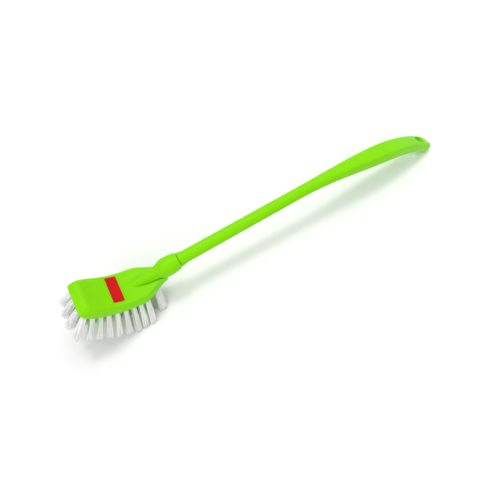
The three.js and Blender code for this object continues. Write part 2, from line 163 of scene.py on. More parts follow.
@dataclass(frozen=True)
class PlateFrame:
    """Frame of the arched head plate: p back along its top face, q across it and n up from it.

    The front rises on one arc and the rear levels out beside the socket on a wider one.
    """

    front_length: float = 41.5
    rear_length: float = 34.0
    front_radius: float = 55.0
    rear_radius: float = 94.0
    bend_angle: float = math.radians(20.4)
    bend_x: float = -46.75
    bend_z: float = 3.78

    @property
    def length(self) -> float:
        """Length of the plate along its top face."""
        return self.front_length + self.rear_length

    def axes(self, p: Array) -> tuple[Array, Array]:
        """Gives the plate's own directions at p.

        Args:
            p: Places along the top face.

        Returns:
            Unit vectors back along the face and up from it, in the shaft's frame.
        """
        past = np.asarray(p, float) - self.front_length
        angle = self.bend_angle - past / np.where(past < 0.0, self.front_radius, self.rear_radius)
        zero = np.zeros_like(angle)
        back = np.stack([np.cos(angle), zero, -np.sin(angle)], axis=-1)
        up = np.stack([np.sin(angle), zero, np.cos(angle)], axis=-1)
        return back, up

    def point(self, p: Array, q: Array, n: Array) -> Array:
        """Turns plate coordinates into points of the shaft's frame.

        Args:
            p: Places along the top face.
            q: Places across it.
            n: Heights over it.

        Returns:
            Points of the shaft's frame.
        """
        p, q, n = np.broadcast_arrays(*(np.asarray(value, float) for value in (p, q, n)))
        up = self.axes(p)[1]
        up_bend = np.array([math.sin(self.bend_angle), 0.0, math.cos(self.bend_angle)])
        radius = np.where(p < self.front_length, self.front_radius, self.rear_radius)
        on_face = np.array([self.bend_x, 0.0, self.bend_z]) + radius[..., None] * (up_bend - up)
        across = np.stack([np.zeros_like(q), q, np.zeros_like(q)], axis=-1)
        return on_face + across + n[..., None] * up

    def locate(self, points: Array) -> tuple[Array, Array, Array]:
        """Turns points of the shaft's frame into plate coordinates.

        Args:
            points: Points of the shaft's frame.

        Returns:
            Places along, across and over the top face.
        """
        x, q, z = np.moveaxis(points, -1, 0)
        dx, dz = x - self.bend_x, z - self.bend_z
        turn_cos, turn_sin = math.cos(self.bend_angle), math.sin(self.bend_angle)
        radius = np.where(turn_cos * dx < turn_sin * dz, self.front_radius, self.rear_radius)
        hub_x, hub_z = dx - radius * turn_sin, dz - radius * turn_cos
        angle = np.arctan2(-hub_x, -hub_z) - self.bend_angle
        return self.front_length - angle * radius, q, radius - np.hypot(hub_x, hub_z)


PLATE = PlateFrame()


@dataclass(frozen=True)
class Skin:
    """Faces of a form: its points and its four-sided faces."""

    points: Array
    quads: Array


class SurfaceNet:
    """Skins a distance field with four-sided faces, one corner for each cell that the surface crosses."""

    PROBE_SHARE = 0.1
    MOVE_SHARE = 0.5
    LEAST_STEEPNESS = 0.05

    def __init__(self, low: Array, high: Array, cell: Array) -> None:
        """Lays a grid of cells over a box.

        Args:
            low: Lowest corner of the box.
            high: Highest corner of the box.
            cell: Size of a cell along each axis.
        """
        self.low = np.asarray(low, float)
        self.cell = np.asarray(cell, float)
        self.counts = np.ceil((np.asarray(high, float) - self.low) / self.cell).astype(int) + 1

    def nodes(self) -> Array:
        """Gives the grid's corner points as one long list."""
        axes = [self.low[i] + self.cell[i] * np.arange(self.counts[i]) for i in range(3)]
        return np.stack(np.meshgrid(*axes, indexing="ij"), axis=-1).reshape(-1, 3)

    @staticmethod
    def _crossings(values: Array, axis: int) -> tuple[Array, Array]:
        """Finds the grid edges along one axis that the surface crosses.

        Args:
            values: Distances on the grid.
            axis: Number of the axis.

        Returns:
            Whether each edge is crossed, and the share of the edge before the crossing.
        """
        low = np.delete(values, -1, axis=axis)
        high = np.delete(values, 0, axis=axis)
        crossed = (low < 0.0) != (high < 0.0)
        share = np.where(crossed, low / np.where(crossed, low - high, 1.0), 0.0)
        return crossed, share

    def _corners(self, values: Array) -> tuple[Array, Array]:
        """Places one corner in each crossed cell, at the mean of its crossings.

        Args:
            values: Distances on the grid.

        Returns:
            The number of each cell's corner, or -1, and the corners.
        """
        cells = self.counts - 1
        total = np.zeros((*cells, 3))
        count = np.zeros(cells)
        for axis in range(3):
            crossed, share = self._crossings(values, axis)
            first, second = [i for i in range(3) if i != axis]
            for step_first in (0, 1):
                for step_second in (0, 1):
                    window = [slice(None)] * 3
                    window[first] = slice(step_first, step_first + cells[first])
                    window[second] = slice(step_second, step_second + cells[second])
                    hit = crossed[tuple(window)]
                    count += hit
                    total[..., axis] += share[tuple(window)]
                    total[..., first] += step_first * hit
                    total[..., second] += step_second * hit
        active = count > 0
        number = np.full(cells, -1)
        number[active] = np.arange(active.sum())
        local = total[active] / count[active][:, None]
        return number, self.low + (np.argwhere(active) + local) * self.cell

    def _faces(self, values: Array, number: Array) -> Array:
        """Joins the four corners round each crossed grid edge, facing out.

        Args:
            values: Distances on the grid.
            number: Number of each cell's corner.

        Returns:
            Corner numbers of each face.
        """
        quads = []
        for axis in range(3):
            crossed, _ = self._crossings(values, axis)
            first, second = (axis + 1) % 3, (axis + 2) % 3
            edges = np.argwhere(crossed)
            across = edges[:, [first, second]]
            last = self.counts[[first, second]] - 1
            edges = edges[((across > 0) & (across < last)).all(axis=1)]
            ring = []
            for step_first, step_second in ((1, 1), (0, 1), (0, 0), (1, 0)):
                cell = edges.copy()
                cell[:, first] -= step_first
                cell[:, second] -= step_second
                ring.append(number[tuple(cell.T)])
            faces = np.stack(ring, axis=-1)
            outward = values[tuple(edges.T)] < 0.0
            quads.append(np.where(outward[:, None], faces, faces[:, ::-1]))
        return np.concatenate(quads)

    def skin(self, distance: Callable[[Array], Array], settle_steps: int = 3) -> Skin:
        """Skins a distance field and settles the corners onto its surface.

        Args:
            distance: Function from points to distances, below 0 inside.
            settle_steps: How often the corners are moved down the field's slope.

        Returns:
            The skin.
        """
        values = distance(self.nodes()).reshape(tuple(self.counts))
        number, points = self._corners(values)
        probe = self.PROBE_SHARE * float(self.cell.min())
        limit = self.MOVE_SHARE * float(self.cell.min())
        for _ in range(settle_steps):
            slope = np.stack(
                [
                    (distance(points + probe * axis) - distance(points - probe * axis)) / (2.0 * probe)
                    for axis in np.eye(3)
                ],
                axis=-1,
            )
            steepness = np.maximum((slope * slope).sum(axis=-1), self.LEAST_STEEPNESS)
            move = np.clip(distance(points) / steepness, -limit, limit)
            points = points - move[:, None] * slope
        return Skin(points, self._faces(values, number))


def mesh_object(name: str, points: Array, faces: Array) -> bpy.types.Object:
    """Makes a smooth-shaded mesh object.

    Args:
        name: Name of the piece.
        points: Points in metres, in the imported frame.
        faces: Corner numbers of each face.

    Returns:
        The object, linked to the scene.
    """
    mesh = bpy.data.meshes.new(name)
    mesh.from_pydata(points.tolist(), [], faces.tolist())
    mesh.validate()
    mesh.shade_smooth()
    piece = bpy.data.objects.new(name, mesh)
    bpy.context.scene.collection.objects.link(piece)
    return piece


def point_values(piece: bpy.types.Object, name: str, values: Array) -> None:
    """Stores one number at each point of a piece, for its finish to read.

    Args:
        piece: The piece.
        name: Name that the finish asks for.
        values: One number for each point.
    """
    layer = piece.data.attributes.new(name, "FLOAT", "POINT")
    layer.data.foreach_set("value", np.asarray(values, np.float32))


class NodeSheet:
    """Small helper for laying out a material's nodes."""

    def __init__(self, name: str) -> None:
        """Starts a material with only a surface shader and its output.

        Args:
            name: Name of the material.
        """
        self.material = bpy.data.materials.new(name)
        self.material.use_nodes = True
        self.tree = self.material.node_tree
        self.shader = self.tree.nodes["Principled BSDF"]

    def add(self, kind: str, **settings: object) -> bpy.types.Node:
        """Adds a node.

        Args:
            kind: The node's type name.
            settings: Properties to set on it.

        Returns:
            The node.
        """
        node = self.tree.nodes.new(kind)
        for key, value in settings.items():
            setattr(node, key, value)
        return node

    def join(self, source: bpy.types.NodeSocket, target: bpy.types.NodeSocket) -> None:
        """Links an output to an input."""
        self.tree.links.new(source, target)

    def place(self, stretch: Triple = (1.0, 1.0, 1.0)) -> bpy.types.NodeSocket:
        """Gives object coordinates in metres.

        Args:
            stretch: Factor along each axis.

        Returns:
            The stretched coordinates.
        """
        where = self.add("ShaderNodeTexCoord")
        mapping = self.add("ShaderNodeMapping")
        mapping.inputs["Scale"].default_value = stretch
        self.join(where.outputs["Object"], mapping.inputs["Vector"])
        return mapping.outputs["Vector"]

    def noise(self, where: bpy.types.NodeSocket, scale: float, detail: float) -> bpy.types.NodeSocket:
        """Adds a noise.

        Args:
            where: Coordinates that it is laid over.
            scale: Scale per metre.
            detail: Number of finer layers.

        Returns:
            The noise, from 0 to 1.
        """
        node = self.add("ShaderNodeTexNoise")
        node.inputs["Scale"].default_value = scale
        node.inputs["Detail"].default_value = detail
        self.join(where, node.inputs["Vector"])
        return node.outputs["Fac"]

    def spread(self, value: bpy.types.NodeSocket, low: float, high: float,
               source: tuple[float, float] = (0.3, 0.7)) -> bpy.types.NodeSocket:
        """Maps a value to a range.

        Args:
            value: The value to map.
            low: Result at the start of the source range.
            high: Result at its end.
            source: Source range.

        Returns:
            The mapped value, held inside the range.
        """
        node = self.add("ShaderNodeMapRange")
        node.inputs["From Min"].default_value = source[0]
        node.inputs["From Max"].default_value = source[1]
        node.inputs["To Min"].default_value = low
        node.inputs["To Max"].default_value = high
        self.join(value, node.inputs["Value"])
        return node.outputs["Result"]

    def blend(self, share: bpy.types.NodeSocket, first: Colour, second: Colour) -> bpy.types.NodeSocket:
        """Mixes two colours by a share.

        Args:
            share: Share of the second colour.
            first: A colour, or the result of another blend.
            second: A colour, or the result of another blend.

        Returns:
            The mixed colour.
        """
        node = self.add("ShaderNodeMix", data_type="RGBA")
        for key, colour in (("A", first), ("B", second)):
            if isinstance(colour, tuple):
                node.inputs[key].default_value = (*colour, 1.0)
            else:
                self.join(colour, node.inputs[key])
        self.join(share, node.inputs["Factor"])
        return node.outputs["Result"]

    def tint(self, share: bpy.types.NodeSocket, first: Colour, second: Colour) -> None:
        """Mixes two colours by a share into the shader's base colour."""
        self.join(self.blend(share, first, second), self.shader.inputs["Base Color"])

    def relief(self, height: bpy.types.NodeSocket, depth: float,
               below: bpy.types.NodeSocket | None = None) -> bpy.types.NodeSocket:
        """Adds a bump.

        Args:
            height: Height from 0 to 1.
            depth: Depth of the relief in metres.
            below: Normal of a coarser relief under this one.

        Returns:
            The bumped normal.
        """
        node = self.add("ShaderNodeBump")
        node.inputs["Distance"].default_value = depth
        self.join(height, node.inputs["Height"])
        if below is not None:
            self.join(below, node.inputs["Normal"])
        return node.outputs["Normal"]

    def set(self, **sockets: object) -> None:
        """Sets the shader's own sockets, named with underscores for spaces."""
        for key, value in sockets.items():
            self.shader.inputs[key.replace("_", " ")].default_value = value


class Finish(ABC):
    """A finish that a piece is dressed in."""

    @abstractmethod
    def build(self) -> bpy.types.Material:
        """Makes the material.

        Returns:
            The material, ready for a piece.
        """


@dataclass(frozen=True)
class MouldedPlastic(Finish):
    """Satin lime-green polypropylene, with the faint grain, flow and parting line of a moulding."""

    name: str = "lime_polypropylene"
    light: Triple = (0.255, 0.77, 0.0006)
    deep: Triple = (0.235, 0.725, 0.0006)
    shade_scale: float = 38.0
    roughness: tuple[float, float] = (0.30, 0.40)
    flow_scale: float = 420.0
    flow_stretch: Triple = (0.12, 1.0, 1.0)
    grain_scale: float = 2600.0
    grain_depth: float = 0.00003
    parting_depth: float = 0.00012
    parting_width: float = 0.22

    def build(self) -> bpy.types.Material:
        """Makes the material.

        Returns:
            The material.
        """
        sheet = NodeSheet(self.name)
        where = sheet.place()
        shade = sheet.noise(where, self.shade_scale, detail=3.0)
        sheet.tint(sheet.spread(shade, 0.0, 1.0), self.light, self.deep)
        flow = sheet.noise(sheet.place(self.flow_stretch), self.flow_scale, detail=4.0)
        sheet.join(sheet.spread(flow, *self.roughness), sheet.shader.inputs["Roughness"])
        grain = sheet.relief(sheet.noise(where, self.grain_scale, detail=2.0), self.grain_depth)
        parting = sheet.add("ShaderNodeAttribute", attribute_name="parting_offset")
        away = sheet.add("ShaderNodeMath", operation="ABSOLUTE")
        sheet.join(parting.outputs["Fac"], away.inputs[0])
        ridge = sheet.spread(away.outputs[0], 1.0, 0.0, (0.0, self.parting_width))
        sheet.join(sheet.relief(ridge, self.parting_depth, grain), sheet.shader.inputs["Normal"])
        sheet.set(
            IOR=1.49,
            Specular_IOR_Level=0.08,
            Subsurface_Weight=0.2,
            Subsurface_Radius=(0.5, 1.0, 0.05),
            Subsurface_Scale=0.003,
        )
        return sheet.material


@dataclass(frozen=True)
class Filament(Finish):
    """White nylon filament with a soft sheen, each strand of its own shade.

    A painted green bounce light towards the plate stands in for the light that the plastic throws on the
    strands; on the strands that the outer ones hide it reaches much further, as painted green shade.
    """

    name: str = "white_filament"
    light: Triple = (0.995, 0.998, 0.985)
    dull: Triple = (0.97, 0.975, 0.955)
    # Painted green bounce light from the plastic, mixed in strongest at the strands' roots.
    root: Triple = (0.24, 0.60, 0.01)
    roughness: tuple[float, float] = (0.30, 0.46)
    streak_scale: float = 900.0

    def build(self) -> bpy.types.Material:
        """Makes the material.

        Returns:
            The material.
        """
        sheet = NodeSheet(self.name)
        shade = sheet.add("ShaderNodeAttribute", attribute_name="strand_shade")
        white = sheet.blend(shade.outputs["Fac"], self.light, self.dull)
        # Painted green bounce light and shade, mixed over the white of the strands.
        painted_bounce_node = sheet.add("ShaderNodeAttribute", attribute_name="painted_bounce_share")
        sheet.tint(painted_bounce_node.outputs["Fac"], white, self.root)
        streak = sheet.noise(sheet.place(), self.streak_scale, detail=2.0)
        sheet.join(sheet.spread(streak, *self.roughness), sheet.shader.inputs["Roughness"])
        sheet.set(IOR=1.53, Specular_IOR_Level=0.3, Sheen_Weight=0.9, Sheen_Roughness=0.6)
        return sheet.material


@dataclass(frozen=True)
class LabelFilm(Finish):
    """Plain red label film with a darker rim and a fine unevenness."""

    name: str = "red_film"
    face: Triple = (0.67, 0.005, 0.0095)
    rim: Triple = (0.42, 0.003, 0.005)
    rim_width: float = 0.9
    roughness: tuple[float, float] = (0.26, 0.38)
    wave_scale: float = 700.0
    wave_depth: float = 0.00004

    def build(self) -> bpy.types.Material:
        """Makes the material.

        Returns:
            The material.
        """
        sheet = NodeSheet(self.name)
        edge = sheet.add("ShaderNodeAttribute", attribute_name="edge_distance")
        share = sheet.spread(edge.outputs["Fac"], 1.0, 0.0, (0.5 * self.rim_width, self.rim_width))
        sheet.tint(share, self.face, self.rim)
        wave = sheet.noise(sheet.place(), self.wave_scale, detail=3.0)
        sheet.join(sheet.spread(wave, *self.roughness), sheet.shader.inputs["Roughness"])
        sheet.join(sheet.relief(wave, self.wave_depth), sheet.shader.inputs["Normal"])
        sheet.set(IOR=1.5, Specular_IOR_Level=0.1)
        return sheet.material


@dataclass(frozen=True)
class DrawnWire(Finish):
    """Bright flat steel wire with drawing marks."""

    name: str = "drawn_wire"
    light: Triple = (0.62, 0.63, 0.65)
    dull: Triple = (0.45, 0.46, 0.48)
    roughness: tuple[float, float] = (0.25, 0.45)
    mark_scale: float = 3000.0
    mark_stretch: Triple = (0.2, 1.0, 4.0)

    def build(self) -> bpy.types.Material:
        """Makes the material.

        Returns:
            The material.
        """
        sheet = NodeSheet(self.name)
        marks = sheet.noise(sheet.place(self.mark_stretch), self.mark_scale, detail=3.0)
        sheet.tint(sheet.spread(marks, 0.0, 1.0), self.light, self.dull)
        sheet.join(sheet.spread(marks, *self.roughness), sheet.shader.inputs["Roughness"])
        sheet.set(Metallic=1.0)
        return sheet.material


@dataclass
class HeadBlock:
    """Arched plate and socket in one moulding, with a hole for each tuft."""

    finish: MouldedPlastic
    half_width: float = 15.6
    thickness: float = 9.5
    flare: float = 1.5
    front_flare: float = 0.3
    corner_length: float = 8.0
    corner_width: float = 5.0
    shoulder_length: float = 27.5
    tail_half_width: float = 6.0
    tail_round: float = 1.0
    tail_trim: float = 1.6
    top_round: float = 1.2
    front_round: float = 5.0
    front_blend: float = 14.0
    front_bottom_round: float = 1.5
    bottom_round: float = 0.6
    mouth_radius: float = 7.9
    bulb_radius: float = 8.8
    bulb_start: float = 8.0
    bulb_end: float = 13.0
    ridge_start: float = 22.0
    ridge_radius: float = 6.0
    ridge_slope: float = 0.092
    ridge_end: float = 50.0
    mouth_round: float = 0.9
    socket_fillet: float = 0.3
    crease_radius: float = 0.6
    crease_end: float = 45.0
    crease_fade: float = 15.0
    bore_diameter: float = 9.6
    bore_depth: float = 25.3
    hole_radius: float = 2.1
    hole_depth: float = 3.0
    cell: float = 0.42
    side_margin: float = 2.0
    end_margin: float = 4.0
    tuft_roots: list[tuple[Array, Array]] = field(default_factory=list)

    def _tail_share(self, p: Array) -> Array:
        """How far the shoulders have narrowed to the tail at p, from 0 to 1."""
        return ease((p - PLATE.length + self.shoulder_length) / self.shoulder_length)

    def _half_width(self, p: Array) -> Array:
        """Half width of the top face at p, without the front corners."""
        return self.half_width + (self.tail_half_width - self.half_width) * self._tail_share(p)

    def _plan(self, p: Array, q: Array, depth: Array) -> Array:
        """Distance to the plate's outline seen from above.

        Args:
            p: Places along the top face.
            q: Places across it.
            depth: Share of the thickness below the top face.

        Returns:
            Distances in the plane of the plate.
        """
        half = self._half_width(p) + self.flare * depth * (1.0 - self._tail_share(p))
        slope = self._half_width(p + SLOPE_STEP) - self._half_width(p - SLOPE_STEP)
        slope = slope / (2.0 * SLOPE_STEP)
        side = (np.abs(q) - half) / np.sqrt(1.0 + slope * slope)
        front = -p - self.front_flare * depth
        u = 1.0 + front / self.corner_length
        v = (np.abs(q) - half) / self.corner_width + 1.0
        ring = np.hypot(u, v)
        pull = np.hypot(u / self.corner_length, v / self.corner_width)
        corner = (ring - 1.0) * ring / np.maximum(pull, TINY)
        outline = np.where((u > 0.0) & (v > 0.0), corner, np.maximum(side, front))
        return round_cut(outline, p - PLATE.length + self.tail_trim, self.tail_round)

    def _socket_radius(self, x: Array) -> Array:
        """Radius of the socket: a bulb behind its mouth, then a slim ridge along the plate.

        Args:
            x: Places along the shaft's frame, below 0 inside the socket.

        Returns:
            Radius at each of them.
        """
        inward = -x
        bulb = self.mouth_radius + (self.bulb_radius - self.mouth_radius) * ease(inward / self.bulb_start)
        ridge = self.ridge_radius - self.ridge_slope * np.maximum(inward - self.ridge_start, 0.0)
        return bulb + (ridge - bulb) * ease((inward - self.bulb_end) / (self.ridge_start - self.bulb_end))

    def _socket(self, points: Array) -> Array:
        """Distance to the socket and its ridge.

        Args:
            points: Points of the shaft's frame.

        Returns:
            Distances, below 0 inside.
        """
        x = points[..., 0]
        slope = self._socket_radius(x + SLOPE_STEP) - self._socket_radius(x - SLOPE_STEP)
        slope = slope / (2.0 * SLOPE_STEP)
        rho = np.hypot(points[..., 1], points[..., 2])
        tube = (rho - self._socket_radius(x)) / np.sqrt(1.0 + slope * slope)
        tube = np.maximum(tube, -self.ridge_end - x)
        return round_cut(tube, x, self.mouth_round)

    def distance(self, points: Array) -> Array:
        """Distance to the whole head block.

        Args:
            points: Points of the shaft's frame.

        Returns:
            Distances, below 0 inside.
        """
        p, q, n = PLATE.locate(points)
        depth = np.clip(-n / self.thickness, 0.0, 1.0)
        rear = ease(p / self.front_blend)
        top_round = self.front_round + (self.top_round - self.front_round) * rear
        bottom_round = self.front_bottom_round + (self.bottom_round - self.front_bottom_round) * rear
        plate = round_cut(self._plan(p, q, depth), n, top_round)
        plate = round_cut(plate, -self.thickness - n, bottom_round)
        socket = self._socket(points)
        block = round_join(plate, socket, self.socket_fillet)
        crease = self.crease_radius * ease((points[..., 0] + self.crease_end) / self.crease_fade)
        crease = np.where(points[..., 0] < -self.bulb_end, crease - np.hypot(plate, socket), -np.inf)
        block = np.maximum(block, crease)
        rho = np.hypot(points[..., 1], points[..., 2])
        bore = np.maximum(rho - self.bore_diameter / 2.0, -self.bore_depth - points[..., 0])
        block = np.maximum(block, -bore)
        close = (np.abs(block) < 2.0 * self.hole_depth) & (n < -self.thickness / 2.0)
        near = points[close]
        holes = np.full(len(near), np.inf)
        for root, along in self.tuft_roots:
            offset = near - root
            run = offset @ along
            beside = np.linalg.norm(offset - run[:, None] * along, axis=-1)
            holes = np.minimum(holes, np.maximum(beside - self.hole_radius, -self.hole_depth - run))
        block[close] = np.maximum(block[close], -holes)
        return block

    def build(self) -> bpy.types.Object:
        """Skins the block.

        Returns:
            The block.
        """
        corners = PLATE.point(
            np.array([0.0, 0.0, PLATE.length, PLATE.length]), 0.0, np.array([0.0, -self.thickness] * 2)
        )
        side = self.half_width + self.flare + self.side_margin
        low = [corners[:, 0].min() - self.end_margin, -side, corners[:, 2].min() - self.end_margin]
        high = [self.mouth_round, side, corners[:, 2].max() + self.end_margin]
        skin = SurfaceNet(low, high, [self.cell] * 3).skin(self.distance)
        return mesh_object("head_block_moulding", POSE.world(skin.points), skin.quads)

    def dress(self, piece: bpy.types.Object) -> None:
        """Gives the block its finish and its place in the frame.

        Args:
            piece: The block.
        """
        piece.data.materials.append(self.finish.build())
        away_from_parting = 1.0
        point_values(piece, "parting_offset", np.full(len(piece.data.vertices), away_from_parting))
        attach(piece, "root")
        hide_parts("head_block")


@dataclass
class Handle:
    """Handle in one moulding: spigot, collar, round shaft and a bowed grip with a hanging slot."""

    finish: MouldedPlastic
    spigot_diameter: float = 9.0
    spigot_length: float = 25.0
    bead_height: float = 0.5
    bead_length: float = 3.0
    bead_place: float = 14.0
    seam_gap: float = 0.3
    collar_diameter: float = 13.6
    collar_length: float = 8.0
    collar_round: float = 0.6
    shaft_diameter: float = 11.6
    shaft_length: float = 130.0
    arcs: tuple[tuple[float, float], ...] = ((540.0, 111.0), (210.0, 67.0), (119.0, 28.7))
    grip_width: float = 20.4
    grip_widest_place: float = 93.0
    grip_thickness: float = 12.2
    grip_edge: float = 2.2
    grip_taper: float = 1.4
    grip_crown: float = 0.3
    tip_width: float = 17.8
    tip_thickness: float = 10.6
    tip_edge: float = 3.2
    tip_round: float = 6.6
    slot_length: float = 15.6
    slot_width: float = 7.6
    slot_setback: float = 30.0
    slot_rim: float = 0.6
    cell_along: float = 0.7
    cell_across: float = 0.45
    margin: float = 2.0

    @property
    def length(self) -> float:
        """Length of the centre line from the seam to the tip."""
        return self.shaft_length + sum(length for _, length in self.arcs)

    def _bend(self, points: Array) -> Array:
        """Bends the straightened handle along its bowed centre line.

        Args:
            points: Places along the centre line, across it and over it.

        Returns:
            Points of the shaft's frame.
        """
        s, q, n = np.moveaxis(points, -1, 0)
        x = np.minimum(s, self.shaft_length)
        z = np.zeros_like(s)
        angle = np.zeros_like(s)
        left = s - self.shaft_length
        for number, (radius, length) in enumerate(self.arcs):
            longest = np.inf if number == len(self.arcs) - 1 else length
            run = np.clip(left, 0.0, longest)
            end = angle + run / radius
            x = x + radius * (np.sin(end) - np.sin(angle))
            z = z - radius * (np.cos(angle) - np.cos(end))
            angle = end
            left = left - run
        return np.stack([x + n * np.sin(angle), q, z + n * np.cos(angle)], axis=-1)

    def _sizes(self, s: Array) -> tuple[Array, Array, Array]:
        """Sizes of the handle's section.

        Args:
            s: Places along the centre line.

        Returns:
            Half width, half thickness and edge radius at each of them.
        """
        widest = self.length - self.grip_widest_place
        shaft = self.shaft_diameter / 2.0
        grow = ease((s - self.shaft_length) / (widest - self.shaft_length))
        shrink = ease((s - widest) / (self.length - widest))
        collar = (self.collar_diameter - self.shaft_diameter) / 2.0
        swell = collar * (1.0 - ease(s / self.collar_length))
        width = shaft + (self.grip_width / 2.0 - shaft) * grow
        width = width + (self.tip_width / 2.0 - width) * shrink + swell
        thick = shaft + (self.grip_thickness / 2.0 - shaft) * grow
        thick = thick + (self.tip_thickness / 2.0 - thick) * shrink + swell
        edge = shaft + swell + (self.grip_edge - shaft) * grow
        edge = edge + (self.tip_edge - edge) * shrink
        return width, thick, edge

    def distance(self, points: Array) -> Array:
        """Distance to the straightened handle.

        Args:
            points: Places along its centre line, across it and over it.

        Returns:
            Distances, below 0 inside.
        """
        s, q, n = np.moveaxis(points, -1, 0)
        width, thick, edge = self._sizes(s)
        round_start = self.length - self.tip_round
        taper = self.grip_taper * ease((s - self.shaft_length) / self.grip_widest_place)
        plan = np.abs(q) - width + taper * np.clip(0.5 + 0.5 * n / thick, 0.0, 1.0)
        past = s - round_start
        beyond = np.hypot(np.maximum(past, 0.0), np.maximum(plan + self.tip_round, 0.0)) - self.tip_round
        plan = np.where((past > 0.0) & (plan > -self.tip_round), beyond, np.maximum(plan, s - self.length))
        crown = self.grip_crown * ease((s - self.shaft_length) / self.grip_widest_place)
        rise = n + crown * np.square(q / width)
        face = np.abs(rise) - thick
        body = round_cut(plan, face, edge)
        body = round_cut(body, self.seam_gap - s, self.collar_round)
        rho = np.hypot(q, n)
        from_bead = np.abs(s + self.bead_place) / (self.bead_length / 2.0)
        bead = self.bead_height * np.maximum(1.0 - from_bead, 0.0)
        spigot = np.maximum(rho - self.spigot_diameter / 2.0 - bead, -self.spigot_length - s)
        spigot = np.maximum(spigot, s - self.collar_length)
        body = np.minimum(body, spigot)
        straight = (self.slot_length - self.slot_width) / 2.0
        along = np.maximum(np.abs(s - (self.length - self.slot_setback)) - straight, 0.0)
        hole = np.hypot(along, q) - self.slot_width / 2.0
        return round_cut(body, -hole, self.slot_rim)

    def build(self) -> bpy.types.Object:
        """Skins the straightened handle, bends it and stands its tip on the floor.

        Returns:
            The handle.
        """
        side = self.grip_width / 2.0 + self.margin
        low = [-self.spigot_length - self.margin, -side, -side]
        high = [self.length + self.margin, side, side]
        cell = [self.cell_along, self.cell_across, self.cell_across]
        skin = SurfaceNet(low, high, cell).skin(self.distance)
        points = POSE.world(self._bend(skin.points))
        points[:, 2] = np.maximum(points[:, 2], 0.0)
        piece = mesh_object("handle_moulding", points, skin.quads)
        point_values(piece, "parting_offset", skin.points[:, 2])
        return piece

    def dress(self, piece: bpy.types.Object) -> None:
        """Gives the handle its finish and its place in the frame.

        Args:
            piece: The handle.
        """
        piece.data.materials.append(self.finish.build())
        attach(piece, "root")
        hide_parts("handle")


@dataclass
class Label:
    """Plain film on the plate's top face, turned a little, with rounded corners."""

    finish: LabelFilm
    place: float = 25.4
    shift: float = 0.6
    length: float = 9.2
    width: float = 24.5
    turn: float = math.radians(-2.2)
    lift: float = 0.3
    sink: float = 0.1
    corner: float = 0.7
    steps_along: int = 20
    steps_across: int = 72

    def build(self) -> bpy.types.Object:
        """Lays a closed thin sheet on the arched face.

        Returns:
            The label.
        """
        span = np.linspace(-1.0, 1.0, self.steps_across + 1) * self.width / 2.0
        past = np.maximum(np.abs(span) - (self.width / 2.0 - self.corner), 0.0)
        half = self.length / 2.0 - self.corner + np.sqrt(np.maximum(self.corner ** 2 - past ** 2, 0.0))
        t = np.linspace(-1.0, 1.0, self.steps_along + 1)
        along = half[:, None] * t[None, :]
        across = np.repeat(span[:, None], len(t), axis=1)
        turn_cos, turn_sin = math.cos(self.turn), math.sin(self.turn)
        p = self.place + self.length / 2.0 + turn_cos * along - turn_sin * across
        q = self.shift + turn_sin * along + turn_cos * across
        top = PLATE.point(p, q, np.full_like(p, self.lift))
        bottom = PLATE.point(p, q, np.full_like(p, -self.sink))
        edge = np.minimum(half[:, None] - np.abs(along), self.width / 2.0 - np.abs(across))
        count = p.size
        number = np.arange(count).reshape(p.shape)
        cells = np.stack([number[:-1, :-1], number[1:, :-1], number[1:, 1:], number[:-1, 1:]], axis=-1)
        rim = np.concatenate([number[0, :-1], number[:-1, -1], number[-1, :0:-1], number[:0:-1, 0]])
        after = np.roll(rim, -1)
        walls = np.stack([rim, after, after + count, rim + count], axis=-1)
        faces = np.concatenate([cells.reshape(-1, 4)[:, ::-1], cells.reshape(-1, 4) + count, walls])
        points = POSE.world(np.concatenate([top.reshape(-1, 3), bottom.reshape(-1, 3)]))
        piece = mesh_object("label_film", points, faces)
        point_values(piece, "edge_distance", np.concatenate([edge.ravel(), edge.ravel()]))
        return piece

    def dress(self, piece: bpy.types.Object) -> None:
        """Gives the label its finish and its place in the frame.

        Args:
            piece: The label.
        """
        piece.data.materials.append(self.finish.build())
        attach(piece, "root")
        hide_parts("label")


